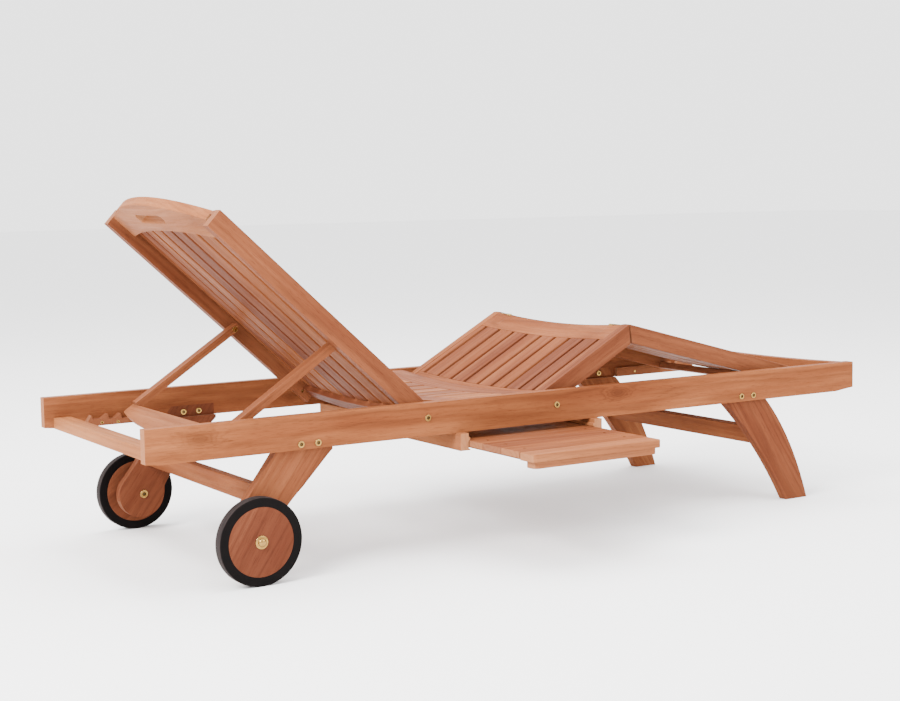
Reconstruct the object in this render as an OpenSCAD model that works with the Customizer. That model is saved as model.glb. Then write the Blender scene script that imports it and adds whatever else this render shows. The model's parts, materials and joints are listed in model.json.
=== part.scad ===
// Reclining sun lounger: slatted timber frame on two wheels and two curved legs.
// X runs from the head (-) to the foot (+), Y across, Z up from the floor.
// The backrest, its prop, the two leg-rest panels, the side tray and the wheels move.

/* [Frame] */
// Length of the side rails
frame_l = 2000; // [1980:5:2030]
// Width over the side rails
frame_w = 680; // [680:1:700]
// Height of the top of the side rails above the floor
frame_top = 350; // [345:1:360]
// Depth of the side rails
rail_h = 75; // [70:1:80]
// Thickness of rails, stiles and legs
board = 25; // [24:0.5:26]

/* [Backrest] */
// Reclining angle of the backrest above level
back_angle = 42.3; // [2.5:0.1:42.3]
// Length of the backrest from its pivot to the corner of the crest
back_l = 672; // [660:1:672]
// Extra height of the crest at the middle
crest_rise = 60; // [20:1:60]

/* [Leg rest] */
// Angle of the thigh panel above level
thigh_angle = 29; // [0:0.1:29]
// Length of the thigh panel from its pivot to the knee
thigh_l = 301; // [295:1:301]
// Length of the calf panel from the knee
calf_l = 621; // [600:1:621]

/* [Surface] */
// How far the lying surface dips at the middle
dish_depth = 13; // [6:1:13]
// Thickness of the slats
slat_t = 12; // [10:1:12]
// Gap between slats
slat_gap = 12; // [8:1:14]

/* [Wheels] */
// Diameter over the tyres
wheel_d = 190; // [190:1:200]
// Diameter of the wooden disc
disc_d = 150; // [130:1:160]

/* [Tray] */
// How far the side tray is pulled out
tray_pull = 262; // [0:1:262]

/* [Hidden] */
$fn = 64;
teak = "#c98056";
teak_pale = "#dba27c";
brass = "#c9a45c";
rubber = "#26262a";

// Frame, in section
rail_out = frame_w / 2;
rail_in = rail_out - board;
rail_z = frame_top - rail_h;
rail_x = frame_l / 2;
cheek = 12;
tongue_top = rail_z + 28;
leg_in = rail_in - cheek;
leg_out = leg_in + board;
head_rack_in = rail_in - 20;
foot_rack_in = rail_in - cheek;
cross_w = 43;
cross_h = 26;
cross_x = -rail_x + 22;
foot_rail_x = rail_x - 40;
foot_rail_h = 34;

// Lying surface, measured up from the pivot line
pivot_z = frame_top - 34;
top_v = frame_top - 3 - pivot_z;
stile_d = 44;
low_v = top_v - stile_d;
dish_half = 287;
rail_t = 25;
slat_pitch = 63.25;
slat_n = 8;
last_gap = slat_pitch * slat_n / 2 + slat_gap / 2;
curve_n = 24;

// Backrest
back_x = -330;
back_out = rail_in - 3;
back_in = back_out - board;
back_tail = 30;
back_rail_u = 5;
crest_low = back_l - 68;
crest_low_rise = 40;
crest_half = back_in - 14;
hold_l = 150;
hold_h = 26;
hold_u = back_l + 11;

// Prop
prop_u = 263.5;
prop_v = -4.6;
prop_angle = -0.2 + 33.4 * (back_angle - 2.5) / 39.8;
arm_d = 17;
arm_t = 28;
arm_out = back_in - 2;
arm_in = arm_out - arm_t;
arm_l = 309;
bar_half = head_rack_in - 1.5;
bar_t = 18;
bar_w = 32;
bar_bow = 28;
bar_bevel = 13;

// Leg rest
thigh_x = 25;
leg_rest_out = foot_rack_in - 2;
leg_rest_in = leg_rest_out - board;
calf_drop = 14.9 / 29 * thigh_angle;
knee_v = 27.5;
knee_gap = 0.5;
mitre = 24.5;
knee_rail_w = 66;
foot_end_w = 60;
foot_bar_x = 594;
foot_bar_w = 24;
foot_bar_h = 18;

// Knee hinges
hinge_y = 245;
hinge_l = 50;
knuckle_r = 2.5;
knee_pin_r = 1.3;
leaf_t = 1.6;
leaf_h = 18;
knuckle_split = 9;
hinge_play = 0.3;
running = 0.05;
// Distance of a mitred face from the hinge line
face_off = knee_gap * cos(mitre) + (top_v - knee_v) * sin(mitre);
// Top and bottom of the calf stiles above the hinge line
calf_top = top_v - knee_v;
calf_low = calf_top - stile_d;

// Pivots and bolts
bolt_r = 4;
head_r = 7.5;
head_t = 2.2;
hex_r = 3.2;
hex_deep = 1.6;
washer_r = 11;
screw_r = 2;
screw_head_r = 4;
screw_sink = 1.5;

// Legs and wheels
axle = [-764, wheel_d / 2];
leg_round = 57;
leg_centre = [-768, wheel_d / 2 - 1];
wheel_w = 25;
wheel_in = leg_out + 24;
wheel_out = wheel_in + wheel_w;
axle_r = 6;
bush_r = 10;
axle_head_r = 10;
axle_head_t = 4;
axle_play = 0.4;
flange_r = 14.5;
dome_r = 9;
dome_base = 3.6;
dome_rise = 5;

// Seat, between backrest and leg rest
seat_x = [-283, -223, -97, -21];

// Tray and its runners
plank_x = [-231.5, 120.5];
runner_t = 23;
runner_h = 40;
lip = 4;
lip_h = 7.7;
runner_y = [-358, 338];
tray_top = 257;
plank_t = 14;
plank_n = 5;
plank_gap = 1.2;
tray_front_w = 52;
tray_front_t = 18;
tray_d = 420;
tray_y = -350 - tray_pull;
batten_w = 22;
batten_t = 15;
side_batten_t = 10;
batten_inset = 27;
plank_back = tray_y + tray_d;
plank_pitch = (tray_d - tray_front_w) / plank_n;
batten_x = [plank_x[0] + batten_inset, plank_x[1] - batten_inset - batten_w];
tray_screw_z = tray_top - plank_t - 8;
tray_sink = 2;
runner_web = 1.5;
front_clear = -350 + tray_front_w + 1;

// The origin is the centre of the outline on the floor, tray pulled out
tray_face = -350 - 262;
cap_h = 9;
plan_shift = -(tray_face + wheel_out + cap_h) / 2;

// How far the surface dips at y
function dish(y) = dish_depth * max(0, 1 - pow(y / dish_half, 2));
// Rise of a bowed edge at y: full at the middle, none at +-half
function bow(y, half, rise) = rise * (1 - pow(y / half, 2));
function steps(a, b, n) = [for (i = [0:n]) a + (b - a) * i / n];
function flip(pts) = [for (i = [len(pts) - 1:-1:0]) pts[i]];
// A curve through three control points
function bend(a, b, c, n) =
    [for (t = steps(0, 1, n)) a * pow(1 - t, 2) + b * 2 * t * (1 - t) + c * t * t];
// Section across the lounger between y0 and y1 that follows the dip
function band(y0, y1, top, t, n) = concat(
    [for (y = steps(y0, y1, n)) [y, top - dish(y)]],
    [for (y = steps(y1, y0, n)) [y, top - t - dish(y)]]
);
// Centre of gap i, from -slat_n/2 to slat_n/2, and the edges of the slat after it
function gap_y(i) = i * slat_pitch;
function slat_span(i) = [gap_y(i) + slat_gap / 2, gap_y(i + 1) - slat_gap / 2];

module placed() { translate([0, plan_shift, 0]) children(); }
// side 1 is left (+Y), side -1 is right (-Y)
module on_side(side) { mirror([0, side > 0 ? 0 : 1, 0]) children(); }
module both_sides() { for (side = [1, -1]) on_side(side) children(); }
// A side view outline (x, z) given thickness from y0 to y1
module slab(y0, y1) {
    translate([0, y1, 0]) rotate([90, 0, 0]) linear_extrude(y1 - y0) children();
}
// A cross section (y, z) drawn out from x0 to x1
module drawn(x0, x1) { translate([x0, 0, 0]) rotate([90, 0, 90]) linear_extrude(x1 - x0) children(); }
// A round bar along Y
module rod(r, y0, y1) { translate([0, y1, 0]) rotate([90, 0, 0]) cylinder(r = r, h = y1 - y0); }
module box(x0, x1, y0, y1, z0, z1) { translate([x0, y0, z0]) cube([x1 - x0, y1 - y0, z1 - z0]); }

module back_frame() {
    translate([back_x, 0, pivot_z]) rotate([0, back_angle, 0]) children();
}
module prop_frame() {
    back_frame() translate([-prop_u, 0, prop_v]) rotate([0, -back_angle - prop_angle, 0]) children();
}
module thigh_frame() {
    translate([thigh_x, 0, pivot_z]) rotate([0, -thigh_angle, 0]) children();
}
module knee_frame() {
    thigh_frame() translate([thigh_l + knee_gap, 0, knee_v]) children();
}
module calf_frame() {
    knee_frame() rotate([0, thigh_angle + calf_drop, 0]) children();
}

// ---- Frame ----
module leg_bolt_places() {
    for (p = [[-648, 287], [-607, 287], [604, 288.5], [644, 288.5]]) {
        translate([p[0], 0, p[1]]) children();
    }
}
module wheel_tongue() {
    polygon([[-701, rail_z], [-680, tongue_top], [-566, tongue_top], [-566, rail_z]]);
}
module front_tongue() {
    polygon([[560, rail_z], [560, tongue_top], [680, tongue_top], [697, rail_z]]);
}
module rail_outline() {
    polygon([
        [-rail_x, rail_z + 3], [-rail_x, frame_top], [rail_x, frame_top],
        [rail_x, rail_z + 7], [rail_x - 30, rail_z + 4], [rail_x - 62, rail_z],
        [-rail_x + 30, rail_z]
    ]);
}
module side_rail(side) {
    on_side(side) difference() {
        slab(rail_in, rail_out) rail_outline();
        slab(rail_in - 1, leg_out) wheel_tongue();
        slab(rail_in - 1, leg_out) front_tongue();
        leg_bolt_places() rod(bolt_r, rail_in - 1, rail_out + 1);
        for (x = [back_x, thigh_x]) {
            translate([x, 0, pivot_z]) rod(bolt_r, rail_in - 1, rail_out + 1);
        }
    }
}
module side_rail_left() { color(teak) placed() side_rail(1); }
module side_rail_right() { color(teak) placed() side_rail(-1); }

module head_crossbar() {
    color(teak_pale) placed() box(cross_x, cross_x + cross_w, -rail_in, rail_in, rail_z, rail_z + cross_h);
}
module foot_crossrail() {
    color(teak) placed() drawn(foot_rail_x, foot_rail_x + board) polygon(concat(
        [for (y = steps(-rail_in, rail_in, curve_n)) [y, frame_top - bow(y, rail_in, 6)]],
        [[rail_in, frame_top - foot_rail_h], [-rail_in, frame_top - foot_rail_h]]
    ));
}

// Toothed strips that the prop bar leans against
module head_rack_outline() {
    polygon([
        [-907, rail_z], [-900, 287], [-891, 301], [-888, 291], [-866, 291.5], [-850, 302], [-847, 289],
        [-832, 290], [-818, 300.5], [-815, 288], [-740, 288], [-740, rail_z]
    ]);
}
module foot_rack_outline() {
    polygon([
        [703, rail_z], [703, 300], [838, 300], [844, 291], [858, 291], [866, 305], [872, 305],
        [876, 291], [890, 291], [899, 305], [905, 305], [909, 291], [923, 291], [930, 305],
        [945, 305], [953, 296], [953, rail_z]
    ]);
}
module head_screw_places() {
    for (p = [[-865, 282], [-825, 281], [-760, 281]]) translate([p[0], 0, p[1]]) children();
}
module foot_screw_places() {
    for (p = [[769, 287], [935, 284]]) translate([p[0], 0, p[1]]) children();
}
module screw_bore(y0) {
    rod(screw_r, y0 - 1, rail_in + 1);
    rod(screw_head_r, y0 - 1, y0 + screw_sink);
}
module head_racks() {
    color(teak_pale) placed() both_sides() difference() {
        slab(head_rack_in, rail_in) head_rack_outline();
        head_screw_places() screw_bore(head_rack_in);
    }
}
module foot_racks() {
    color(teak_pale) placed() both_sides() difference() {
        slab(foot_rack_in, rail_in) foot_rack_outline();
        foot_screw_places() screw_bore(foot_rack_in);
    }
}
module rack_screw(y0) {
    rod(screw_r, y0 + 0.5, rail_in);
    rod(screw_head_r, y0 + 0.3, y0 + screw_sink);
}
module rack_screws() {
    color(brass) placed() both_sides() {
        head_screw_places() rack_screw(head_rack_in);
        foot_screw_places() rack_screw(foot_rack_in);
    }
}

// ---- Legs ----
module wheel_leg_outline() {
    translate(leg_centre) circle(r = leg_round);
    polygon(concat(
        [[-720, 100], [-820, 118]],
        bend([-820, 118], [-776, 174], [-701, rail_z], 10),
        [[-566, rail_z], [-566, 268], [-578, 257]],
        bend([-640, 193], [-690, 150], [-712, 104], 8)
    ));
}
module front_leg_outline() {
    polygon(concat(
        bend([560, rail_z], [686, 154], [771, 0], 16),
        bend([844, 0], [792, 170], [697, rail_z], 16)
    ));
}
module leg_holes() {
    leg_bolt_places() rod(bolt_r, leg_in - 1, leg_out + 1);
}
module wheel_leg(side) {
    on_side(side) difference() {
        union() {
            slab(leg_in, leg_out) wheel_leg_outline();
            slab(rail_in, leg_out) wheel_tongue();
        }
        leg_holes();
        translate([axle[0], 0, axle[1]]) rod(axle_r, leg_in - 1, leg_out + 1);
    }
}
module wheel_leg_left() { color(teak) placed() wheel_leg(1); }
module wheel_leg_right() { color(teak) placed() wheel_leg(-1); }
module wheel_leg_stretcher() {
    color(teak) placed() box(-751, -729, -leg_in, leg_in, 164.5, 206.5);
}
module front_leg(side) {
    on_side(side) difference() {
        union() {
            slab(leg_in, leg_out) front_leg_outline();
            slab(rail_in, leg_out) front_tongue();
        }
        leg_holes();
    }
}
module front_leg_left() { color(teak) placed() front_leg(1); }
module front_leg_right() { color(teak) placed() front_leg(-1); }
module front_leg_stretcher() {
    color(teak) placed() translate([688, 0, 178]) rotate([0, -8, 0])
        box(-12, 12, -leg_in, leg_in, -22, 22);
}

// A barrel bolt head with its hexagon socket, facing +Y at y = 0
module barrel_head() {
    difference() {
        rod(head_r, 0, head_t);
        translate([0, head_t + 0.01, 0]) rotate([90, 0, 0]) cylinder(r = hex_r, h = hex_deep, $fn = 6);
    }
}
module leg_bolts() {
    color(brass) placed() both_sides() leg_bolt_places() {
        rod(bolt_r, rail_in, rail_out);
        translate([0, rail_out, 0]) barrel_head();
        translate([0, rail_in, 0]) mirror([0, 1, 0]) barrel_head();
    }
}

// ---- Seat ----
module seat_rail(x0, x1) {
    drawn(x0, x1) polygon(band(-rail_in, rail_in, frame_top - 3, rail_t, curve_n));
}
module seat_rear_rail() { color(teak) placed() seat_rail(seat_x[0], seat_x[1]); }
module seat_front_rail() { color(teak) placed() seat_rail(seat_x[2], seat_x[3]); }
// The row of slats, and the edge slats out to the half width
module slat_row(x0, x1, top, half) {
    for (i = [-slat_n / 2:slat_n / 2 - 1]) {
        drawn(x0, x1) polygon(band(slat_span(i)[0], slat_span(i)[1], top, slat_t, 4));
    }
    both_sides() drawn(x0, x1) polygon(band(last_gap, half, top, slat_t, 2));
}
module seat_slats() {
    color(teak_pale) placed() slat_row(seat_x[1], seat_x[2], frame_top - 3, rail_in);
}

// ---- Pivots fixed in the side rails ----
module pivot_bolt(y_end) {
    rod(bolt_r, y_end, rail_out);
    translate([0, rail_out, 0]) barrel_head();
}
module back_pivot_bolts() {
    color(brass) placed() both_sides() translate([back_x, 0, pivot_z]) pivot_bolt(back_in + 3);
}
module thigh_pivot_bolts() {
    color(brass) placed() both_sides() translate([thigh_x, 0, pivot_z]) pivot_bolt(leg_rest_in + 3);
}
module washer(y0, y1) {
    difference() {
        rod(washer_r, y0, y1);
        rod(bolt_r + running, y0 - 1, y1 + 1);
    }
}
module pivot_washers() {
    color(brass) placed() both_sides() {
        translate([back_x, 0, pivot_z]) washer(back_out + 0.5, rail_in);
        translate([thigh_x, 0, pivot_z]) washer(leg_rest_out + 0.5, rail_in);
    }
}

// ---- Axles ----
module at_axle() { translate([axle[0], 0, axle[1]]) children(); }
module axle_bolts() {
    color(brass) placed() both_sides() at_axle() {
        rod(axle_r, leg_in, wheel_out + axle_play);
        translate([0, leg_in, 0]) mirror([0, 1, 0]) difference() {
            rod(axle_head_r, 0, axle_head_t);
            translate([0, axle_head_t + 0.01, 0]) rotate([90, 0, 0]) cylinder(r = 4.6, h = 2.5, $fn = 6);
        }
    }
}
module axle_spacers() {
    color(brass) placed() both_sides() at_axle() difference() {
        rod(bush_r, leg_out, wheel_in - axle_play);
        rod(axle_r + running, leg_out - 1, wheel_in);
    }
}
module axle_cap_nuts() {
    color(brass) placed() both_sides() at_axle() translate([0, wheel_out + axle_play, 0]) rotate([-90, 0, 0])
        rotate_extrude() polygon(concat(
            [[0, 0], [flange_r, 0], [flange_r, 1.4], [dome_r, 2.4], [dome_r, dome_base]],
            [for (a = steps(15, 90, 8)) [dome_r * cos(a), dome_base + dome_rise * sin(a)]]
        ));
}

// ---- Wheels ----
module wheel_disc(side) {
    on_side(side) at_axle() difference() {
        rod(disc_d / 2, wheel_in, wheel_out);
        rod(bush_r, wheel_in - 1, wheel_out + 1);
    }
}
module tyre(side) {
    r0 = disc_d / 2;
    r1 = wheel_d / 2;
    on_side(side) at_axle() translate([0, wheel_in, 0]) rotate([-90, 0, 0]) rotate_extrude($fn = 128)
        polygon([
            [r0, 0], [r1 - 3, 0], [r1, 3], [r1, wheel_w - 3], [r1 - 3, wheel_w], [r0, wheel_w]
        ]);
}
module wheel_bush(side) {
    on_side(side) at_axle() difference() {
        rod(bush_r, wheel_in, wheel_out);
        rod(axle_r + running, wheel_in - 1, wheel_out + 1);
    }
}
module wheel_disc_left() { color(teak) placed() wheel_disc(1); }
module wheel_disc_right() { color(teak) placed() wheel_disc(-1); }
module tyre_left() { color(rubber) placed() tyre(1); }
module tyre_right() { color(rubber) placed() tyre(-1); }
module wheel_bush_left() { color(brass) placed() wheel_bush(1); }
module wheel_bush_right() { color(brass) placed() wheel_bush(-1); }

// ---- Tray runners: a web with a lip above and below the tray ----
module runner_outline() {
    z0 = rail_z - runner_h;
    z1 = tray_top - plank_t - 0.3;
    z2 = tray_top + 0.3;
    polygon([
        [0, z0], [runner_t + lip, z0], [runner_t + lip, z1], [runner_t, z1], [runner_t, z2],
        [runner_t + lip, z2], [runner_t + lip, z2 + lip_h], [runner_t, z2 + lip_h],
        [runner_t, rail_z], [0, rail_z]
    ]);
}
module tray_runners() {
    color(teak_pale) placed() difference() {
        union() {
            translate([plank_x[0] - runner_web - runner_t, 0, 0])
                slab(runner_y[0], runner_y[1]) runner_outline();
            translate([plank_x[1] + runner_web + runner_t, 0, 0]) mirror([1, 0, 0])
                slab(runner_y[0], runner_y[1]) runner_outline();
        }
        // The lips are cut back to clear the thicker front board
        box(
            plank_x[0] - runner_web, plank_x[1] + runner_web, runner_y[0] - 1, front_clear,
            tray_top - tray_front_t - 0.5, tray_top + 0.3
        );
    }
}

// ---- Backrest ----
module back_stile(side) {
    on_side(side) back_frame() difference() {
        box(-back_l, back_tail, back_in, back_out, low_v, top_v);
        rod(bolt_r + running, back_in - 1, back_out + 1);
        translate([-prop_u, 0, prop_v]) rod(bolt_r, back_in - 1, back_out - 7);
    }
}
module back_stile_left() { color(teak) placed() back_stile(1); }
module back_stile_right() { color(teak) placed() back_stile(-1); }
// Plan outlines of the crest, in (x, y): its own shape, and all that lies beyond its lower edge
module crest_outline() {
    ys = steps(-crest_half, crest_half, curve_n);
    polygon(concat(
        [for (y = ys) [-back_l - bow(y, crest_half, crest_rise), y]],
        [for (y = flip(ys)) [-crest_low - bow(y, crest_half, crest_low_rise), y]]
    ));
}
module beyond_crest_edge() {
    ys = steps(-crest_half, crest_half, curve_n);
    polygon(concat(
        [[-back_l - 100, -crest_half]], [[-back_l - 100, crest_half]],
        [for (y = flip(ys)) [-crest_low - bow(y, crest_half, crest_low_rise), y]]
    ));
}
module hand_hold() {
    r = hold_h / 2;
    translate([-hold_u, 0]) {
        square([hold_h, hold_l - hold_h], center = true);
        for (s = [1, -1]) translate([0, s * (hold_l / 2 - r)]) circle(r = r);
    }
}
module back_crest() {
    color(teak_pale) placed() back_frame() difference() {
        intersection() {
            drawn(-back_l - 80, -crest_low + 20) polygon(band(-dish_half, dish_half, top_v, rail_t, curve_n));
            translate([0, 0, -60]) linear_extrude(120) crest_outline();
        }
        translate([0, 0, -60]) linear_extrude(120) hand_hold();
    }
}
module back_bottom_rail() {
    color(teak) placed() back_frame()
        drawn(-back_rail_u, back_tail) polygon(band(-back_in, back_in, top_v, rail_t, curve_n));
}
module back_slats() {
    color(teak) placed() back_frame() {
        difference() {
            for (i = [-slat_n / 2:slat_n / 2 - 1]) {
                drawn(-back_l, -back_rail_u)
                    polygon(band(slat_span(i)[0], slat_span(i)[1], top_v, slat_t, 4));
            }
            translate([0, 0, -60]) linear_extrude(120) beyond_crest_edge();
        }
        both_sides() {
            drawn(-crest_low, -back_rail_u) polygon(band(last_gap, back_in, top_v, slat_t, 2));
            drawn(-back_l, -crest_low) polygon(band(crest_half, back_in, top_v, slat_t, 2));
        }
    }
}
module prop_pivot_pins() {
    color(brass) placed() both_sides() back_frame() translate([-prop_u, 0, prop_v]) {
        rod(bolt_r, arm_in - 0.5, back_out - 7);
        rod(head_r, arm_in - 2.5, arm_in - 0.5);
    }
}

// ---- Prop ----
module arm_outline() {
    h = arm_d / 2;
    polygon([[-arm_l, -h], [6, -h], [12, 6 - h], [12, h], [-arm_l, h]]);
}
module prop_arm(side) {
    on_side(side) prop_frame() difference() {
        slab(arm_in, arm_out) arm_outline();
        rod(bolt_r + running, arm_in - 1, arm_out + 1);
    }
}
module prop_arm_left() { color(teak) placed() prop_arm(1); }
module prop_arm_right() { color(teak) placed() prop_arm(-1); }
module prop_bar() {
    far = arm_l + bar_w;
    corner = 9;
    flat_half = bar_half - corner;
    color(teak_pale) placed() prop_frame() difference() {
        translate([0, 0, -bar_t]) linear_extrude(bar_t) polygon(concat(
            [[-arm_l, bar_half], [-arm_l, -bar_half]],
            [for (a = steps(0, 90, 6)) [-far + corner * (1 - sin(a)), -flat_half - corner * cos(a)]],
            [for (y = steps(-flat_half, flat_half, curve_n)) [-far - bow(y, flat_half, bar_bow), y]],
            [for (a = steps(90, 0, 6)) [-far + corner * (1 - sin(a)), flat_half + corner * cos(a)]]
        ));
        slab(-rail_in, rail_in) polygon([
            [-far + 2, -bar_t - 1], [-far + 2, -bar_t], [-far - bar_bow, bar_bevel - bar_t],
            [-far - bar_bow - 5, bar_bevel - bar_t], [-far - bar_bow - 5, -bar_t - 1]
        ]);
    }
}

// ---- Thigh panel ----
// Side view of everything before the mitred knee end, x measured from the hinge line
module before_knee() {
    fall = (stile_d + 4) * tan(mitre);
    polygon([
        [-900, top_v - knee_v + 1], [-knee_gap, top_v - knee_v + 1],
        [-knee_gap, top_v - knee_v],
        [-knee_gap - fall, top_v - knee_v - stile_d - 4], [-900, top_v - knee_v - stile_d - 4]
    ]);
}
module thigh_stile(side) {
    on_side(side) intersection() {
        thigh_frame() difference() {
            box(-back_tail, thigh_l + 1, leg_rest_in, leg_rest_out, low_v, top_v);
            rod(bolt_r + running, leg_rest_in - 1, leg_rest_out + 1);
        }
        knee_frame() slab(-rail_in, rail_in) before_knee();
    }
}
module thigh_stile_left() { color(teak) placed() thigh_stile(1); }
module thigh_stile_right() { color(teak) placed() thigh_stile(-1); }
module thigh_seat_rail() {
    color(teak) placed() thigh_frame()
        drawn(-back_tail, back_rail_u) polygon(band(-leg_rest_in, leg_rest_in, top_v, rail_t, curve_n));
}
// Room for a knee hinge in the two knee rails: x and z from the hinge line
module hinge_room() {
    for (s = [1, -1]) translate([0, s * hinge_y, 0]) {
        half = hinge_l / 2 + hinge_play;
        r = knuckle_r + 2 * hinge_play;
        rod(r, -half, half);
        box(-r, r, -half, half, 0, 8);
    }
}
module thigh_leaf_room() {
    half = hinge_l / 2 + hinge_play;
    for (s = [1, -1]) translate([0, s * hinge_y, 0]) rotate([0, mitre, 0])
        box(-face_off - leaf_t, -face_off + 1, -half, half, -leaf_h - hinge_play, hinge_play);
}
module leaf_plate(half) {
    rotate([0, mitre, 0]) box(-face_off - leaf_t, -face_off, -half, half, -leaf_h, -knuckle_r - 0.8);
}
module thigh_knee_rail() {
    color(teak) placed() difference() {
        intersection() {
            thigh_frame() drawn(thigh_l - knee_rail_w, thigh_l + 1)
                polygon(band(-leg_rest_in, leg_rest_in, top_v, rail_t, curve_n));
            knee_frame() slab(-rail_in, rail_in) before_knee();
        }
        knee_frame() {
            hinge_room();
            thigh_leaf_room();
        }
    }
}
module thigh_slats() {
    color(teak) placed() thigh_frame() slat_row(back_rail_u, thigh_l - knee_rail_w, top_v, leg_rest_in);
}
// Hinge leaves: a plate on the mitred face, tabs and knuckles round the pin
module thigh_leaf() {
    half = hinge_l / 2;
    difference() {
        union() {
            leaf_plate(half);
            for (s = [1, -1]) on_side(s) {
                rod(knuckle_r, knuckle_split, half);
                rotate([0, mitre, 0]) box(-face_off - leaf_t, -face_off, knuckle_split, half, -leaf_h, 0);
            }
        }
        rod(knee_pin_r, -half - 1, half + 1);
    }
}
module knee_hinge_thigh_leaves() {
    color(brass) placed() knee_frame() for (s = [1, -1]) translate([0, s * hinge_y, 0]) thigh_leaf();
}
module knee_hinge_pins() {
    color(brass) placed() knee_frame() for (s = [1, -1]) translate([0, s * hinge_y, 0])
        rod(knee_pin_r, -hinge_l / 2, hinge_l / 2);
}

// ---- Calf panel, x from the hinge line ----
module after_knee() {
    mirror([1, 0, 0]) before_knee();
}
module foot_bar_box(half) {
    box(foot_bar_x, foot_bar_x + foot_bar_w, -half, half, calf_low, calf_low + foot_bar_h);
}
module calf_stile(side) {
    on_side(side) calf_frame() difference() {
        intersection() {
            box(-1, calf_l, leg_rest_in, leg_rest_out, calf_low, calf_top);
            slab(-rail_in, rail_in) after_knee();
        }
        foot_bar_box(rail_in);
    }
}
module calf_stile_left() { color(teak) placed() calf_stile(1); }
module calf_stile_right() { color(teak) placed() calf_stile(-1); }
module calf_knee_rail() {
    color(teak) placed() calf_frame() difference() {
        intersection() {
            drawn(-1, knee_rail_w) polygon(band(-leg_rest_in, leg_rest_in, calf_top, rail_t, curve_n));
            slab(-rail_in, rail_in) after_knee();
        }
        hinge_room();
        mirror([1, 0, 0]) thigh_leaf_room();
    }
}
module calf_foot_rail() {
    color(teak) placed() calf_frame() drawn(calf_l - foot_end_w, calf_l)
        polygon(band(-leg_rest_in, leg_rest_in, calf_top, slat_t, curve_n));
}
module calf_foot_bar() { color(teak_pale) placed() calf_frame() foot_bar_box(foot_rack_in - 1); }
module calf_slats() {
    color(teak) placed() calf_frame() slat_row(knee_rail_w, calf_l - foot_end_w, calf_top, leg_rest_in);
}
module calf_leaf() {
    half = hinge_l / 2;
    tab = knuckle_split - hinge_play;
    difference() {
        mirror([1, 0, 0]) union() {
            leaf_plate(half);
            rod(knuckle_r, -tab, tab);
            rotate([0, mitre, 0]) box(-face_off - leaf_t, -face_off, -tab, tab, -leaf_h, 0);
        }
        rod(knee_pin_r + running, -half - 1, half + 1);
    }
}
module knee_hinge_calf_leaves() {
    color(brass) placed() calf_frame() for (s = [1, -1]) translate([0, s * hinge_y, 0]) calf_leaf();
}

// ---- Side tray ----
module tray_screw_places() {
    for (x = batten_x, i = [0:plank_n - 1]) {
        translate([x + batten_w / 2, tray_y + tray_front_w + plank_pitch * (i + 0.5), 0]) children();
    }
}
module tray_screw_bore() {
    translate([0, 0, tray_screw_z]) cylinder(r = screw_r, h = plank_t + 9);
    translate([0, 0, tray_top - tray_sink]) cylinder(r = screw_head_r, h = tray_sink + 1);
}
module tray_planks() {
    color(teak) placed() difference() {
        for (i = [0:plank_n - 1]) {
            y0 = tray_y + tray_front_w + plank_pitch * i + plank_gap;
            box(plank_x[0], plank_x[1], y0, y0 + plank_pitch - plank_gap, tray_top - plank_t, tray_top);
        }
        tray_screw_places() tray_screw_bore();
    }
}
// A board with two rounded front corners, from x0 to x1 and y0 to y1
module round_front(x0, x1, y0, y1, r) {
    translate([x0 + r, y0 + r]) circle(r = r);
    translate([x1 - r, y0 + r]) circle(r = r);
    translate([x0 + r, y0]) square([x1 - x0 - 2 * r, y1 - y0]);
    translate([x0, y0 + r]) square([x1 - x0, y1 - y0 - r]);
}
module tray_front_board() {
    color(teak_pale) placed() translate([0, 0, tray_top - tray_front_t])
        linear_extrude(tray_front_t) round_front(plank_x[0], plank_x[1], tray_y, tray_y + tray_front_w, 10);
}
module tray_front_batten() {
    z1 = tray_top - tray_front_t;
    color(teak_pale) placed() translate([0, 0, z1 - batten_t])
        linear_extrude(batten_t) round_front(plank_x[0] + 7, plank_x[1] - 7, tray_y + 6, tray_y + 36, 14);
}
module tray_side_battens() {
    color(teak) placed() difference() {
        for (x = batten_x) {
            box(
                x, x + batten_w, tray_y + 40, plank_back,
                tray_top - plank_t - side_batten_t, tray_top - plank_t
            );
        }
        box(-300, 300, tray_y, tray_y + tray_front_w, tray_top - tray_front_t, tray_top);
        tray_screw_places() tray_screw_bore();
    }
}
module tray_screws() {
    color(brass) placed() tray_screw_places() {
        translate([0, 0, tray_screw_z]) cylinder(r = screw_r, h = plank_t + 6.5);
        translate([0, 0, tray_top - tray_sink]) cylinder(r = screw_head_r, h = tray_sink - 0.4);
    }
}

side_rail_left();
side_rail_right();
head_crossbar();
foot_crossrail();
head_racks();
foot_racks();
rack_screws();
wheel_leg_left();
wheel_leg_right();
wheel_leg_stretcher();
front_leg_left();
front_leg_right();
front_leg_stretcher();
leg_bolts();
seat_rear_rail();
seat_front_rail();
seat_slats();
back_pivot_bolts();
thigh_pivot_bolts();
pivot_washers();
axle_bolts();
axle_spacers();
axle_cap_nuts();
tray_runners();
back_stile_left();
back_stile_right();
back_crest();
back_bottom_rail();
back_slats();
prop_pivot_pins();
prop_arm_left();
prop_arm_right();
prop_bar();
thigh_stile_left();
thigh_stile_right();
thigh_seat_rail();
thigh_knee_rail();
thigh_slats();
knee_hinge_thigh_leaves();
knee_hinge_pins();
calf_stile_left();
calf_stile_right();
calf_knee_rail();
calf_foot_rail();
calf_slats();
calf_foot_bar();
knee_hinge_calf_leaves();
tray_planks();
tray_front_board();
tray_front_batten();
tray_side_battens();
tray_screws();
wheel_disc_left();
tyre_left();
wheel_bush_left();
wheel_disc_right();
tyre_right();
wheel_bush_right();
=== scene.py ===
import json
import math
import random
import bmesh
import bpy
import numpy as np
from mathutils import Matrix, Vector


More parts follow.
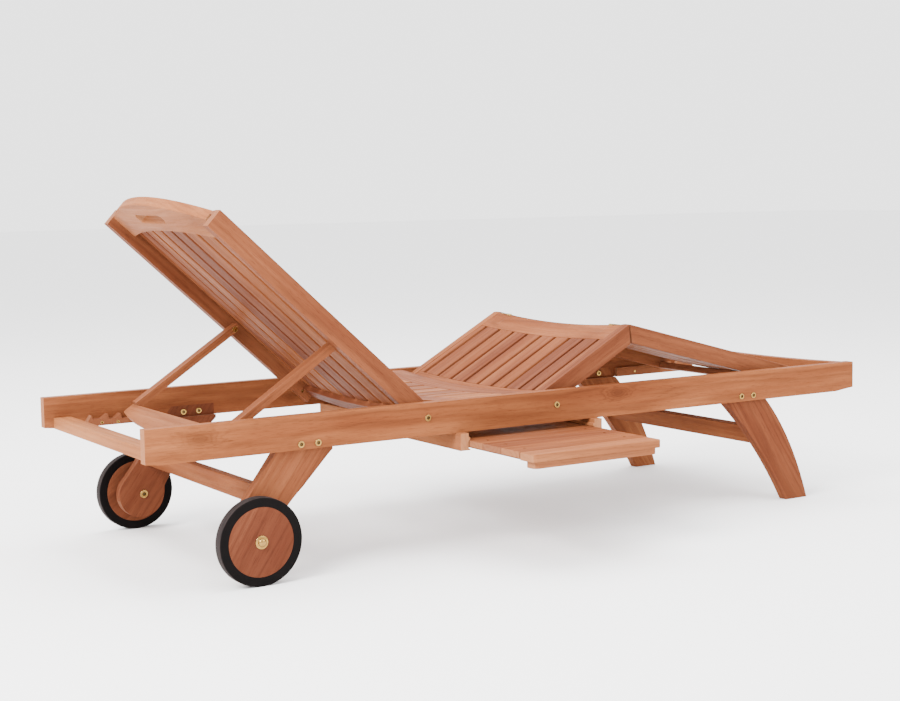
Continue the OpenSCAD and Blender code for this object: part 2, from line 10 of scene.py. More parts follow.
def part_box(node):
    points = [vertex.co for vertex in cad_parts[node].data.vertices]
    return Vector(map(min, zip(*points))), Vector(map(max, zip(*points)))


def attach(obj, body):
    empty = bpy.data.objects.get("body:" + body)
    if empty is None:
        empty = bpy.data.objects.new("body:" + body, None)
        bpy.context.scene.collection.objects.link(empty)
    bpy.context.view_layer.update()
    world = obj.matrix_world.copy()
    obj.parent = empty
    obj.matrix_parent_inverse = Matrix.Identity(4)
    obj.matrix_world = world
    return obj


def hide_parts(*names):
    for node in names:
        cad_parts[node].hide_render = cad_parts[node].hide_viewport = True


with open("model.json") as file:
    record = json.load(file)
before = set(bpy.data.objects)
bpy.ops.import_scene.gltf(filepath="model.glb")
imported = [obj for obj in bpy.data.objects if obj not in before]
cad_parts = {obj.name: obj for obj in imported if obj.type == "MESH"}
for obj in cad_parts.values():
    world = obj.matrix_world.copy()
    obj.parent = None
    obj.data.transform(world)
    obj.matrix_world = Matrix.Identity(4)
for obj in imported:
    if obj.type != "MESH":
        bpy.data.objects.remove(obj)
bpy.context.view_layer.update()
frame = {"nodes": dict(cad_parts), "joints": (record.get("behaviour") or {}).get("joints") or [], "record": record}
random.seed(11)
MM = 0.001

# ---- What the frame says ----
JOINT = {j["name"]: j for j in frame["joints"]}
NODE_SLOT = {s["node"]: s["material_slot"] for s in frame["record"]["subparts"]}
NODE_BODY = {n: body for body, names in frame["record"]["behaviour"]["bodies"].items() for n in names}
AXLE = {side: Vector(JOINT[f"wheel_{side}_spin"]["pos_m"]) for side in ("left", "right")}
MID_Y = (AXLE["left"].y + AXLE["right"].y) / 2
KNEE_X, _, KNEE_Z = JOINT["calf_fold"]["pos_m"]
BACK_TRAVEL, THIGH_TRAVEL, CALF_TRAVEL = (
    -JOINT[name]["range_deg"][0] for name in ("back_recline", "thigh_lift", "calf_fold"))

# ---- Boards ----
# Slopes are in degrees up from +X, of a body's boards and then of the boards that differ
BACK_AT_LOWEST = 2.5
BODY_SLOPE = {"frame": 0.0, "backrest": -(BACK_AT_LOWEST + BACK_TRAVEL), "prop": 33.2,
              "thigh": THIGH_TRAVEL, "calf": THIGH_TRAVEL - CALF_TRAVEL, "tray": 0.0}
BOARD_SLOPE = {"wheel_leg_left": 53.4, "wheel_leg_right": 53.4, "front_leg_left": -57.0,
               "front_leg_right": -57.0, "front_leg_stretcher": 8.0}
DISC_SLOPE = {"left": 35.0, "right": 58.0}
# How pale a board runs, from 0 to 1, where it is not the usual tone
USUAL_TONE = 0.5
BOARD_TONE = {"side_rail_right": 0.55, "side_rail_left": 0.45, "head_crossbar": 0.62,
              "front_leg_left": 0.55, "wheel_leg_left": 0.34, "wheel_leg_right": 0.34,
              "back_stile_right": 0.55, "back_crest": 0.46, "thigh_slats": 0.42,
              "calf_stile_left": 0.34, "calf_stile_right": 0.34}
DISC_TONE = 0.10
# Knots: how far along and up from the board's middle, and their reach, in metres
KNOTS = {"side_rail_right": ((-0.880, 0.008, 0.017), (0.208, 0.017, 0.013)),
         "side_rail_left": ((-0.35, -0.01, 0.012),)}
KNOT_NAMES = ("knot_a", "knot_b")
BOARD_EDGE = 1.6 * MM
# A face shows end grain where its normal lies this much along the board
END_FACING = 0.75

# ---- Metal ----
# Bolts whose round heads have a hexagon socket: land is the radius where the flat top ends, floor the
# height of the socket's bottom, and soft the rounding of the rim
BOLT = {"shank": 4 * MM, "head": 7.5 * MM, "thick": 2.2 * MM, "flats": 7.6 * MM, "land": 4.4 * MM,
        "floor": 0.5 * MM, "soft": 0.7 * MM}
AXLE_BOLT = {"shank": 6 * MM, "head": 10 * MM, "thick": 4 * MM, "flats": 9 * MM, "land": 5.8 * MM,
             "floor": 1.4 * MM, "soft": 0.9 * MM}
SCREW_R = 2 * MM
SCREW_HEAD_R = 4 * MM
# From the middle of a wheel to its cap nut's flange
NUT_FACE = 12.9 * MM
NUT_FLANGE_R = 14.4 * MM
DOME_R = 9 * MM
BUSH_R = 10 * MM
SMALL_EDGE = 0.25 * MM
# The knee hinges' knuckles are filed flush with the dished rails, and their hidden pins are thinner
# than in CAD, so that the filed knuckles turn clear of them
KNEE_TOP = KNEE_Z + 0.4 * MM
PIN_THINNING = 0.12
# Points closer than this are one point
WELD = 0.02 * MM


# ---- Materials ----
class Finish:
    """A procedural material, whose nodes are made and linked by short calls."""

    def __init__(self, name):
        self.material = bpy.data.materials.new(name)
        self.material.use_nodes = True
        tree = self.material.node_tree
        self.nodes = tree.nodes
        self.links = tree.links
        self.nodes.clear()
        self.shader = self.nodes.new("ShaderNodeBsdfPrincipled")
        self.links.new(self.shader.outputs[0], self.nodes.new("ShaderNodeOutputMaterial").inputs[0])

    def feed(self, socket, value):
        """Links another node's output to a socket, or sets a constant on it."""
        if isinstance(value, bpy.types.NodeSocket):
            self.links.new(value, socket)
        elif value is not None:
            socket.default_value = value

    def set(self, **inputs):
        """Feeds the shader's inputs, with _ for a space in their names."""
        for name, value in inputs.items():
            self.feed(self.shader.inputs[name.replace("_", " ")], value)

    def attribute(self, name, output="Fac"):
        node = self.nodes.new("ShaderNodeAttribute")
        node.attribute_name = name
        return node.outputs[output]

    def place(self):
        return self.nodes.new("ShaderNodeTexCoord").outputs["Object"]

    def math(self, operation, a, b=None):
        node = self.nodes.new("ShaderNodeMath")
        node.operation = operation
        self.feed(node.inputs[0], a)
        self.feed(node.inputs[1], b)
        return node.outputs[0]

    def plus(self, a, b):
        return self.math("ADD", a, b)

    def times(self, a, b):
        return self.math("MULTIPLY", a, b)

    def vector(self, operation, a, b=None):
        node = self.nodes.new("ShaderNodeVectorMath")
        node.operation = operation
        self.feed(node.inputs[0], a)
        self.feed(node.inputs[1], b)
        return node.outputs["Value" if operation == "LENGTH" else "Vector"]

    def noise(self, place, stretch, detail, rough, output="Fac"):
        """Noise at stretch cells to the metre along each axis."""
        node = self.nodes.new("ShaderNodeTexNoise")
        node.inputs["Scale"].default_value = 1.0
        node.inputs["Detail"].default_value = detail
        node.inputs["Roughness"].default_value = rough
        self.feed(node.inputs["Vector"], self.vector("MULTIPLY", place, stretch))
        return node.outputs[output]

    def spread(self, value, low, high, to_low=0.0, to_high=1.0):
        """Stretches the range from low to high onto another one."""
        node = self.nodes.new("ShaderNodeMapRange")
        numbers = {"From Min": low, "From Max": high, "To Min": to_low, "To Max": to_high}
        for name, number in numbers.items():
            node.inputs[name].default_value = number
        self.feed(node.inputs["Value"], value)
        return node.outputs["Result"]

    def mix(self, factor, a, b):
        """Colour a where factor is 0 and colour b where it is 1."""
        node = self.nodes.new("ShaderNodeMix")
        node.data_type = "RGBA"
        factor_in, a_in, b_in = node.inputs[0], node.inputs[6], node.inputs[7]
        self.feed(factor_in, factor)
        for socket, colour in ((a_in, a), (b_in, b)):
            self.feed(socket, (*colour, 1.0) if isinstance(colour, tuple) else colour)
        return node.outputs[2]

    def bump(self, height, distance, strength, normal=None):
        node = self.nodes.new("ShaderNodeBump")
        node.inputs["Strength"].default_value = strength
        node.inputs["Distance"].default_value = distance
        self.feed(node.inputs["Height"], height)
        self.feed(node.inputs["Normal"], normal)
        return node.outputs[0]


def knot_here(wood, grain, name):
    """1 at the heart of a knot, falling to 0 around it; 0 on boards without one.

    It falls as 1/e to the power of the squared distance, which noise makes ragged.
    """
    away = wood.nodes.new("ShaderNodeSeparateXYZ")
    wood.feed(away.inputs[0], wood.attribute(name, "Vector"))
    x, y, present = away.outputs
    square = wood.plus(wood.times(x, x), wood.times(y, y))
    ragged = wood.spread(wood.noise(grain, (30.0, 90.0, 90.0), 3.0, 0.6), 0.3, 0.7, 0.6, 1.5)
    fall_off = wood.math("POWER", math.exp(-1), wood.times(square, ragged))
    return wood.times(fall_off, present)


def growth_rings(wood, grain, knot):
    """Dark lines round a pith beside the board, bent by a slow warp and by the knots."""
    phase_per_metre = 520.0
    wander = 9.0
    knot_swirl = 26.0
    warp = wood.noise(grain, (1.3, 8.0, 8.0), 3.0, 0.5, "Color")
    warp = wood.vector("SUBTRACT", warp, (0.5, 0.5, 0.5))
    warp = wood.vector("MULTIPLY", warp, (0.0, 0.040, 0.040))
    across = wood.vector("MULTIPLY", wood.vector("ADD", grain, warp), (0.0, 1.0, 1.0))
    radius = wood.times(wood.vector("LENGTH", across), phase_per_metre)
    drift = wood.times(wood.noise(grain, (2.4, 34.0, 34.0), 3.0, 0.6), wander)
    phase = wood.plus(wood.plus(radius, drift), wood.times(knot, knot_swirl))
    return wood.math("POWER", wood.spread(wood.math("SINE", phase), -1.0, 1.0), 2.6)


def timber_finish(name, light, dark, streak, end):
    """Oiled teak: growth rings cut by each board, fine streaks and pores along it, paler end grain."""
    wood = Finish(name)
    grain = wood.attribute("grain", "Vector")
    tone = wood.attribute("board")
    knot = wood.plus(*(knot_here(wood, grain, knot_name) for knot_name in KNOT_NAMES))
    patches = wood.spread(wood.noise(grain, (1.8, 15.0, 15.0), 3.0, 0.55), 0.34, 0.68)
    rings = wood.times(growth_rings(wood, grain, knot), wood.spread(patches, 0.0, 1.0, 0.22, 0.75))
    streaks = wood.spread(wood.noise(grain, (3.0, 120.0, 120.0), 6.0, 0.66), 0.34, 0.68)
    pores = wood.spread(wood.noise(grain, (38.0, 1050.0, 1050.0), 2.0, 0.5), 0.58, 0.70)
    face = wood.mix(patches, light, dark)
    for mark, strength, colour in (
            (rings, 0.62, streak), (streaks, 0.62, dark), (pores, 0.50, streak), (knot, 0.55, streak)):
        face = wood.mix(wood.times(mark, strength), face, colour)
    speckle = wood.spread(wood.noise(grain, (60.0, 900.0, 900.0), 2.0, 0.6), 0.45, 0.7)
    cut_end = wood.mix(wood.times(rings, 0.5), end, dark)
    cut_end = wood.mix(wood.times(speckle, 0.4), cut_end, dark)
    shift = wood.nodes.new("ShaderNodeHueSaturation")
    for part, low, high in (("Hue", 0.490, 0.508), ("Saturation", 0.90, 0.97), ("Value", 0.38, 1.34)):
        wood.feed(shift.inputs[part], wood.spread(tone, 0.0, 1.0, low, high))
    wood.feed(shift.inputs["Color"], wood.mix(wood.attribute("endgrain"), face, cut_end))
    fine = wood.bump(pores, 0.3 * MM, 0.4)
    wood.set(Base_Color=shift.outputs[0], Roughness=wood.spread(streaks, 0.0, 1.0, 0.42, 0.60), IOR=1.08,
             Normal=wood.bump(streaks, 0.6 * MM, 0.3, fine))
    return wood.material


def rubber_finish():
    """Matt black rubber, dusty, with a greyer worn tread."""
    rubber = Finish("rubber")
    place = rubber.place()
    dust = rubber.spread(rubber.noise(place, (38.0, 260.0, 38.0), 5.0, 0.6), 0.35, 0.75)
    worn = rubber.mix(dust, (0.0120, 0.0088, 0.0086), (0.030, 0.022, 0.0215))
    side = rubber.mix(dust, (0.0016, 0.0011, 0.0011), (0.0040, 0.0028, 0.0027))
    grit = rubber.noise(place, (900.0, 900.0, 900.0), 2.0, 0.5)
    rubber.set(Base_Color=rubber.mix(rubber.attribute("tread"), side, worn),
               Roughness=rubber.spread(dust, 0.0, 1.0, 0.55, 0.78), Specular_IOR_Level=0.05,
               Normal=rubber.bump(grit, 0.3 * MM, 0.35))
    return rubber.material


def brass_finish():
    """Tarnished brass, bright on its handled edges, with painted shade darkening its sockets and recesses and
    grime darkening the weathered screws.
    """
    brass = Finish("brass")
    place = brass.place()
    tarnish = brass.spread(brass.noise(place, (160.0, 160.0, 160.0), 5.0, 0.6), 0.40, 0.75)
    colour = (0.30, 0.170, 0.042)
    for mark, strength, tint in (
            (tarnish, 0.6, (0.13, 0.060, 0.016)),
            (brass.attribute("edge"), 0.7, (0.50, 0.34, 0.12)),
            # near black: painted shade inside sockets and screw recesses, grime on the weathered tray screws
            (brass.attribute("shade_and_grime"), 0.92, (0.02, 0.012, 0.008))):
        colour = brass.mix(brass.times(mark, strength), colour, tint)
    scratch = brass.noise(place, (2600.0, 300.0, 2600.0), 2.0, 0.6)
    brass.set(Base_Color=colour, Metallic=1.0, Roughness=brass.spread(tarnish, 0.0, 1.0, 0.16, 0.38),
              Normal=brass.bump(scratch, 0.05 * MM, 0.2))
    return brass.material


MATERIAL = {
    "teak": timber_finish("teak", light=(0.262, 0.080, 0.0215), dark=(0.142, 0.034, 0.0078),
                          streak=(0.047, 0.0105, 0.0030), end=(0.27, 0.100, 0.039)),
    "teak_pale": timber_finish("teak_pale", light=(0.300, 0.102, 0.032), dark=(0.200, 0.057, 0.0155),
                               streak=(0.085, 0.022, 0.006), end=(0.29, 0.112, 0.044)),
    "rubber": rubber_finish(),
    "brass": brass_finish(),
}


# ---- Meshes ----
def link(name, data):
    obj = bpy.data.objects.new(name, data)
    bpy.context.scene.collection.objects.link(obj)
    return obj


def settle(obj):
    """Turns the object's modifiers into its mesh."""
    graph = bpy.context.evaluated_depsgraph_get()
    mesh = bpy.data.meshes.new_from_object(obj.evaluated_get(graph), depsgraph=graph)
    obj.modifiers.clear()
    obj.data = mesh
    return obj


def install(obj, node):
    """The piece takes the CAD node's place, finish and body."""
    slot = NODE_SLOT[node]
    obj.data.materials.clear()
    obj.data.materials.append(MATERIAL[slot])
    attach(obj, NODE_BODY[node])
    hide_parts(node)


def points(mesh):
    """The places of a mesh's vertices, one row each."""
    return np.array([v.co for v in mesh.vertices], float).reshape(-1, 3)


def loose_parts(mesh):
    """A number for each vertex, saying which separate solid it belongs to."""
    part = np.arange(len(mesh.vertices))
    edges = np.array([e.vertices[:] for e in mesh.edges], int).reshape(-1, 2)
    while True:
        low = np.minimum(part[edges[:, 0]], part[edges[:, 1]])
        before = part.copy()
        np.minimum.at(part, edges[:, 0], low)
        np.minimum.at(part, edges[:, 1], low)
        part = part[part]
        if (part == before).all():
            return part


def weld(b):
    """Makes one corner of the corners that lie in the same place."""
    bmesh.ops.remove_doubles(b, verts=b.verts, dist=WELD)


def opened(node):
    """A copy of a CAD node's mesh and its faces opened for editing, with shared corners."""
    mesh = frame["nodes"][node].data.copy()
    b = bmesh.new()
    b.from_mesh(mesh)
    weld(b)
    return mesh, b


def node_parts(node):
    """The lowest and highest corners of each separate solid of a CAD node."""
    mesh, b = opened(node)
    b.to_mesh(mesh)
    b.free()
    part = loose_parts(mesh)
    co = points(mesh)
    bpy.data.meshes.remove(mesh)
    return [(Vector(co[part == p].min(0)), Vector(co[part == p].max(0))) for p in np.unique(part)]


def write_attribute(mesh, name, kind, domain, values):
    """Stores values on a mesh's points or faces, for a material to read by name."""
    layer = mesh.attributes.get(name) or mesh.attributes.new(name, kind, domain)
    values = np.asarray(values, np.float32).ravel()
    layer.data.foreach_set("vector" if kind == "FLOAT_VECTOR" else "value", values)


# ---- Timber ----
def eased(node, radius, segments=3):
    """A copy of a CAD node with clean faces and its sharp edges rounded over."""
    mesh, b = opened(node)
    bmesh.ops.dissolve_limit(b, angle_limit=math.radians(0.15), verts=b.verts, edges=b.edges)
    for f in b.faces:
        f.smooth = True
    b.to_mesh(mesh)
    b.free()
    old_normals = mesh.attributes.get("custom_normal")
    if old_normals is not None:
        mesh.attributes.remove(old_normals)
    obj = link(node + "_finished", mesh)
    bevel = obj.modifiers.new("round over", "BEVEL")
    bevel.width = radius
    bevel.segments = segments
    bevel.limit_method = "ANGLE"
    bevel.angle_limit = math.radians(28)
    bevel.miter_outer = "MITER_ARC"
    bevel.use_clamp_overlap = True
    flat = obj.modifiers.new("flat faces", "WEIGHTED_NORMAL")
    flat.weight = 80
    flat.keep_sharp = True
    return settle(obj)


def lay_grain(obj, slope, tone, by_length=True):
    """Gives each board its own grain: coordinates along and across it, a tone, and where its ends are.

    The grain runs along the board's greatest length, or else straight along the slope.
    """
    mesh = obj.data
    t = math.radians(slope)
    axes = np.array([[math.cos(t), 0, math.sin(t)], [0, 1, 0], [-math.sin(t), 0, math.cos(t)]])
    co = points(mesh) @ axes.T
    part = loose_parts(mesh)
    grain = np.zeros_like(co)
    tones = np.zeros(len(co))
    lengthwise = {}
    for p in np.unique(part):
        mine = part == p
        low, high = co[mine].min(0), co[mine].max(0)
        order = list(np.argsort(low - high))
        if not by_length:
            order = [0] + [axis for axis in order if axis != 0]
        lengthwise[p] = axes[order[0]]
        start = random.uniform(0, 9)
        pith_across = random.uniform(-0.03, 0.03)
        pith_under = random.choice((-1, 1)) * random.uniform(0.035, 0.10)
        grain[mine] = (co[mine] - (low + high) / 2)[:, order] + (start, pith_across, pith_under)
        tones[mine] = tone + random.uniform(-0.18, 0.18)
    ends = []
    for f in mesh.polygons:
        along_board = float(np.dot(lengthwise[part[f.vertices[0]]], f.normal))
        ends.append(abs(along_board) > END_FACING)
    write_attribute(mesh, "grain", "FLOAT_VECTOR", "POINT", grain)
    write_attribute(mesh, "board", "FLOAT", "POINT", tones)
    write_attribute(mesh, "endgrain", "FLOAT", "FACE", ends)


def add_knot(obj, name, along, up, reach):
    """A knot on a level board: how far each point is from it, counted in its own reach."""
    co = points(obj.data)
    middle = (co.min(0) + co.max(0)) / 2
    away = np.ones_like(co)
    away[:, 0] = (co[:, 0] - middle[0] - along) / (2.4 * reach)
    away[:, 1] = (co[:, 2] - middle[2] - up) / reach
    write_attribute(obj.data, name, "FLOAT_VECTOR", "POINT", away)


def timber(node):
    """A CAD node of wooden boards, finished."""
    slope = BOARD_SLOPE.get(node, BODY_SLOPE[NODE_BODY[node]])
    obj = eased(node, BOARD_EDGE)
    lay_grain(obj, slope, BOARD_TONE.get(node, USUAL_TONE))
    for name, knot in zip(KNOT_NAMES, KNOTS.get(node, ())):
        add_knot(obj, name, *knot)
    install(obj, node)


# ---- Turned shapes ----
def hexagon(flats):
    """A hexagon's radius at an angle, from its width across the flats."""
    return lambda a: flats / 2 / math.cos((a + math.pi / 6) % (math.pi / 3) - math.pi / 6)


def cross(across):
    """A screwdriver cross's radius at an angle."""
    return lambda a: across / 2 * (0.42 + 0.58 * abs(math.cos(2 * a)) ** 3)


def rounded(outline, radius, steps=4):
    """An outline of (radius, height) points with its corners rounded."""
    out = [outline[0]]
    for before, corner, after in zip(outline, outline[1:], outline[2:]):
        a, q, c = Vector(before), Vector(corner), Vector(after)
        r = min(radius, (a - q).length * 0.45, (c - q).length * 0.45)
        start = q + (a - q).normalized() * r
        end = q + (c - q).normalized() * r
        for k in range(steps + 1):
            t = k / steps
            out.append(tuple(start * (1 - t) ** 2 + q * 2 * t * (1 - t) + end * t * t))
    out.append(outline[-1])
    return out


def turn(b, rings, place, out, steps, close_start=False, close_end=False):
    """Rings of (radius, or a function of the angle, and distance along out) joined into a turned shape."""
    out = Vector(out).normalized()
    side = out.orthogonal().normalized()
    up = out.cross(side)
    loops = []
    for r, h in rings:
        loop = []
        for i in range(steps):
            a = 2 * math.pi * i / steps
            away = (side * math.cos(a) + up * math.sin(a)) * (r(a) if callable(r) else r)
            loop.append(b.verts.new(Vector(place) + out * h + away))
        loops.append(loop)
    faces = []
    for one, two in zip(loops, loops[1:]):
        for i in range(steps):
            j = (i + 1) % steps
            faces.append(b.faces.new((one[i], one[j], two[j], two[i])))
    if close_start:
        faces.append(b.faces.new(list(reversed(loops[0]))))
    if close_end:
        faces.append(b.faces.new(loops[-1]))
    return faces


def blank():
    """An empty mesh whose faces can be marked dark, for painted shade in recesses and for grime."""
    b = bmesh.new()
    b.faces.layers.float.new("shade_and_grime")
    return b


def darken_shade_and_grime(b, faces):
    """Marks faces to be painted near black: painted shade inside sockets and screw recesses, and grime on
    weathered screws.
    """
    layer = b.faces.layers.float["shade_and_grime"]
    for f in faces:
        f[layer] = 1.0


def finish_mesh(name, b):
    """Smooth faces, sharp corners, and an object to hold them."""
    bmesh.ops.recalc_face_normals(b, faces=b.faces)
    for f in b.faces:
        f.smooth = True
    for e in b.edges:
        if len(e.link_faces) == 2 and e.calc_face_angle(0) > math.radians(38):
            e.smooth = False
    mesh = bpy.data.meshes.new(name)
    b.to_mesh(mesh)
    b.free()
    return link(name, mesh)


# ---- Metal fittings ----
def edge_wear(obj):
    """Marks the outward edges, where handling keeps the metal bright."""
    b = bmesh.new()
    b.from_mesh(obj.data)
    wear = []
    for v in b.verts:
        angles = [e.calc_face_angle_signed(0) for e in v.link_edges if len(e.link_faces) == 2]
        wear.append(min(1.0, max([0.0] + angles) * 1.6))
    b.free()
    write_attribute(obj.data, "edge", "FLOAT", "POINT", wear)


def metal(node, b):
    """A turned mesh takes a CAD node's place, with worn edges."""
    obj = finish_mesh(node + "_finished", b)
    edge_wear(obj)
    install(obj, node)


def socket_head(b, place, out, shank, head, thick, flats, land, floor, soft):
    """A bolt head with a rounded rim and a hexagon socket."""
    rim = rounded([(shank, 0), (head, 0), (head, thick), (land, thick)], soft)
    turn(b, rim + [(hexagon(flats), thick)], place, out, 48)
    inside = hexagon(flats - 0.4 * MM)
    socket = [(hexagon(flats), thick), (inside, thick - 0.3 * MM), (inside, floor)]
    # the socket's inside is painted near black as painted shade
    darken_shade_and_grime(b, turn(b, socket, place, out, 48, close_end=True))


def axis_of(low, high):
    """The x and z of the axis of a solid that lies along Y."""
    return (low.x + high.x) / 2, (low.z + high.z) / 2


def leg_bolts():
    """Barrel bolts through rail and leg, with a head at either end."""
    b = blank()
    for low, high in node_parts("leg_bolts"):
        x, z = axis_of(low, high)
        left, right = high.y - BOLT["thick"], low.y + BOLT["thick"]
        socket_head(b, (x, left, z), (0, 1, 0), **BOLT)
        socket_head(b, (x, right, z), (0, -1, 0), **BOLT)
        turn(b, [(BOLT["shank"], right), (BOLT["shank"], left)], (x, 0, z), (0, 1, 0), 24)
    metal("leg_bolts", b)


def pivot_bolts(node):
    """Bolts with a head on the outside and a plain tip inside."""
    b = blank()
    for low, high in node_parts(node):
        x, z = axis_of(low, high)
        side = 1 if low.y > MID_Y else -1
        outer, tip = (high.y, low.y) if side > 0 else (low.y, high.y)
        face = outer - side * BOLT["thick"]
        socket_head(b, (x, face, z), (0, side, 0), **BOLT)
        turn(b, [(BOLT["shank"], 0), (BOLT["shank"], abs(face - tip))], (x, face, z), (0, -side, 0), 24,
             close_end=True)
    metal(node, b)


def axle_bolts():
    """Wheel axles with a socket head on the inside of each leg."""
    b = blank()
    for low, high in node_parts("axle_bolts"):
        x, z = axis_of(low, high)
        side = 1 if low.y > MID_Y else -1
        inner = low.y if side > 0 else high.y
        shank, thick = AXLE_BOLT["shank"], AXLE_BOLT["thick"]
        place = (x, inner + side * thick, z)
        socket_head(b, place, (0, -side, 0), **AXLE_BOLT)
        length = high.y - low.y - thick
        turn(b, [(shank, 0), (shank, length)], place, (0, side, 0), 32, close_end=True)
    metal("axle_bolts", b)


def screws(node, thick, upward, weathered=False):
    """Countersunk screws with a cross recess, whose heads point up or towards the middle plane."""
    b = blank()
    mouth = cross(SCREW_HEAD_R)
    for low, high in node_parts(node):
        middle = (low + high) / 2
        if upward:
            out = Vector((0, 0, 1))
            top = Vector((middle.x, middle.y, high.z))
            length = high.z - low.z
        else:
            side = -1 if middle.y > MID_Y else 1
            out = Vector((0, side, 0))
            top = Vector((middle.x, low.y if side < 0 else high.y, middle.z))
            length = high.y - low.y
        rings = [(SCREW_R, -length), (SCREW_R, -thick * 1.6), (SCREW_HEAD_R * 0.94, -thick * 0.35),
                 (SCREW_HEAD_R, -thick * 0.1), (SCREW_HEAD_R * 0.95, 0), (SCREW_HEAD_R * 0.62, 0),
                 (mouth, 0)]
        turn(b, rings, top, out, 32, close_start=True)
        recess = [(mouth, 0), (cross(SCREW_HEAD_R * 0.8), -thick * 0.6)]
        # the cross recess is painted near black as painted shade
        darken_shade_and_grime(b, turn(b, recess, top, out, 32, close_end=True))
    if weathered:
        darken_shade_and_grime(b, b.faces)
    metal(node, b)


def cap_nuts():
    """Domed nuts with a thin flange, on the outside of the wheels."""
    b = blank()
    flange = rounded([(5 * MM, 0), (NUT_FLANGE_R, 0), (NUT_FLANGE_R, 1.5 * MM), (10.4 * MM, 2.3 * MM),
                      (DOME_R, 2.5 * MM)], 0.6 * MM)
    dome = []
    for degrees in range(0, 88, 8):
        a = math.radians(degrees)
        dome.append((DOME_R * math.cos(a), 3.9 * MM + 4.9 * MM * math.sin(a)))
    for side, centre in AXLE.items():
        sign = 1 if side == "left" else -1
        face = centre + Vector((0, sign * NUT_FACE, 0))
        turn(b, flange + dome, face, (0, sign, 0), 72, close_start=True, close_end=True)
    metal("axle_cap_nuts", b)


def sleeves(node, inner, outer, soft):
    """Turned sleeves and washers in the places of a CAD node's solids."""
    b = blank()
    for low, high in node_parts(node):
        x, z = axis_of(low, high)
        width = high.y - low.y
        outline = rounded([(inner, 0), (outer, 0), (outer, width), (inner, width)], soft)
        turn(b, outline + [(inner, 0)], (x, low.y, z), (0, 1, 0), 56)
    weld(b)
    metal(node, b)


def small_metal(node):
    """Pins and hinge leaves, taken from CAD with their edges eased."""
    obj = eased(node, SMALL_EDGE, 2)
    for v in obj.data.vertices:
        if node == "knee_hinge_pins":
            v.co.x = KNEE_X + PIN_THINNING * (v.co.x - KNEE_X)
            v.co.z = KNEE_Z + PIN_THINNING * (v.co.z - KNEE_Z)
        elif node.startswith("knee_hinge"):
            v.co.z = min(v.co.z, KNEE_TOP)
    edge_wear(obj)
    install(obj, node)


# ---- Wheels ----
def wheel_disc(side, place, width, radius):
    """A turned wooden disc that carries the tyre."""
    node = "wheel_disc_" + side
    rim = radius - 0.1 * MM
    b = bmesh.new()
    outline = rounded([(BUSH_R, 0), (radius * 0.5, 0), (rim, 0), (rim, width), (radius * 0.5, width),
                       (BUSH_R, width)], 1.2 * MM)
    turn(b, outline + [(BUSH_R, 0)], place, (0, 1, 0), 128)
    weld(b)
    disc = finish_mesh(node + "_finished", b)
    lay_grain(disc, DISC_SLOPE[side], DISC_TONE, by_length=False)
    install(disc, node)


def tyre(side, place, width, inner, outer):
    """A flat rubber ring with soft corners, marked with where its tread is."""
    node = "tyre_" + side
    bead = inner + 1.2 * MM
    b = bmesh.new()
    outline = rounded([(inner, width * 0.5), (inner, 0.2 * MM), (bead, 0), (outer, 0), (outer, width),
                       (bead, width), (inner, width - 0.2 * MM), (inner, width * 0.5)], 2.4 * MM, 5)
    turn(b, outline, place, (0, 1, 0), 144)
    weld(b)
    ring = finish_mesh(node + "_finished", b)
    tread = []
    for f in ring.data.polygons:
        out = Vector((f.center.x - place.x, 0, f.center.z - place.z)).normalized()
        tread.append(max(0.0, min(1.0, (f.normal.dot(out) - 0.35) * 2.5)))
    write_attribute(ring.data, "tread", "FLOAT", "FACE", tread)
    install(ring, node)


def wheel(side):
    """The disc, tyre and bush, round the joint's axle."""
    low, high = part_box("wheel_disc_" + side)
    place = Vector((AXLE[side].x, low.y, AXLE[side].z))
    width = high.y - low.y
    disc_r = (high.x - low.x) / 2
    wheel_disc(side, place, width, disc_r)
    tyre(side, place, width, disc_r, place.z)
    sleeves("wheel_bush_" + side, 6.05 * MM, BUSH_R - 0.01 * MM, 0.4 * MM)


# ---- The object ----
for node, slot in NODE_SLOT.items():
    if slot in ("teak", "teak_pale") and not node.startswith("wheel_disc"):
        timber(node)
leg_bolts()
pivot_bolts("back_pivot_bolts")
pivot_bolts("thigh_pivot_bolts")
screws("rack_screws", 1.2 * MM, upward=False)
screws("tray_screws", 1.6 * MM, upward=True, weathered=True)
cap_nuts()
axle_bolts()
sleeves("pivot_washers", 4.06 * MM, 11 * MM, 0.5 * MM)
sleeves("axle_spacers", AXLE_BOLT["shank"], BUSH_R, 0.5 * MM)
for side in ("left", "right"):
    wheel(side)
for node in ("prop_pivot_pins", "knee_hinge_thigh_leaves", "knee_hinge_pins", "knee_hinge_calf_leaves"):
    small_metal(node)


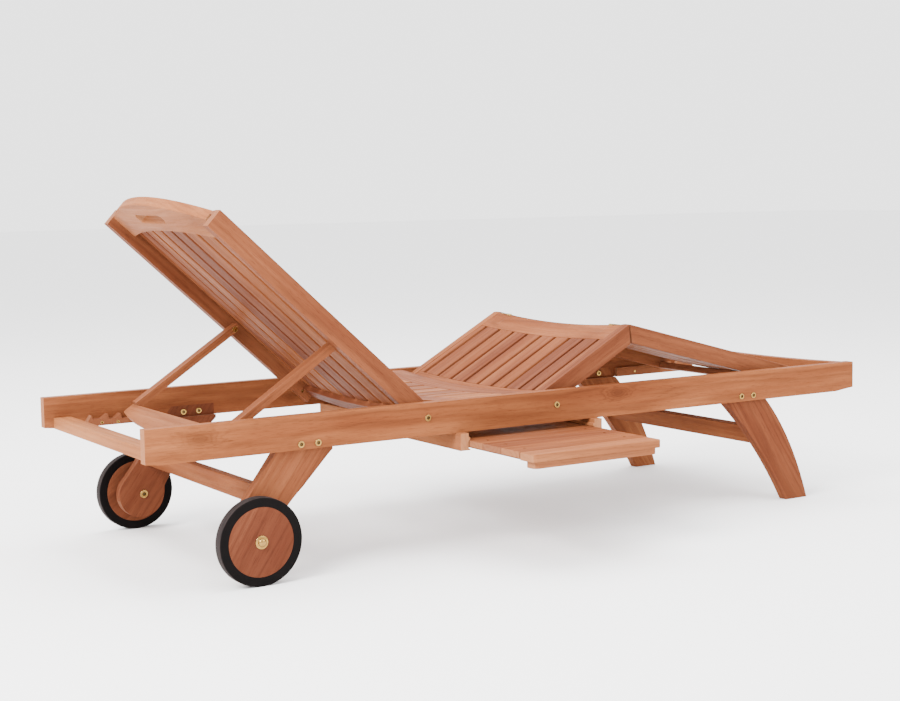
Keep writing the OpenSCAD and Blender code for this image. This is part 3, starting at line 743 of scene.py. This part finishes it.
# ---- Floor, light and camera ----
def floor():
    """A pale matt floor, wide enough to reach the horizon."""
    matt = Finish("floor_white")
    matt.set(Base_Color=(0.90, 0.90, 0.905, 1), Roughness=0.9, Specular_IOR_Level=0.15)
    b = bmesh.new()
    bmesh.ops.create_grid(b, x_segments=1, y_segments=1, size=40.0)
    mesh = bpy.data.meshes.new("floor")
    b.to_mesh(mesh)
    b.free()
    mesh.materials.append(matt.material)
    link("floor", mesh)


def area_light(name, place, target, size, power, colour=(1, 1, 1)):
    """A soft rectangular light, aimed at a target."""
    light = bpy.data.lights.new(name, "AREA")
    light.shape = "RECTANGLE"
    light.size, light.size_y = size
    light.energy = power
    light.color = colour
    obj = link(name, light)
    obj.location = place
    obj.rotation_euler = (Vector(target) - Vector(place)).to_track_quat("-Z", "Y").to_euler()


def sky():
    """Even white light from all round."""
    world = bpy.data.worlds.new("studio")
    world.use_nodes = True
    background = world.node_tree.nodes["Background"]
    background.inputs["Color"].default_value = (1.0, 1.0, 1.0, 1)
    background.inputs["Strength"].default_value = 2.8
    bpy.context.scene.world = world


def camera():
    """Low, near the head corner on the right, looking across at the foot."""
    place = (-2.1506, MID_Y - 3.3855, 0.8156)
    heading, tilt, roll = math.radians(-31.712), math.radians(5.608), math.radians(-0.983)
    data = bpy.data.cameras.new("camera")
    data.sensor_width = 36
    data.lens = 63.74
    data.clip_end = 200
    ahead = Vector((-math.sin(heading) * math.cos(tilt), math.cos(heading) * math.cos(tilt),
                    -math.sin(tilt)))
    level = Vector((math.cos(heading), math.sin(heading), 0))
    upright = level.cross(ahead)
    right = math.cos(roll) * level + math.sin(roll) * upright
    up = -math.sin(roll) * level + math.cos(roll) * upright
    obj = link("camera", data)
    obj.matrix_world = Matrix.Translation(place) @ Matrix((right, up, -ahead)).transposed().to_4x4()
    bpy.context.scene.camera = obj


floor()
area_light("key", (-4.2, -1.6, 3.6), (0, 0, 0.3), (2.2, 2.2), 620, (1.0, 0.98, 0.96))
area_light("fill", (2.5, -4.2, 2.6), (0, 0, 0.3), (3.0, 2.0), 130)
area_light("top", (0.3, 0.8, 5.0), (0, 0, 0.2), (4.0, 4.0), 420)
sky()
camera()
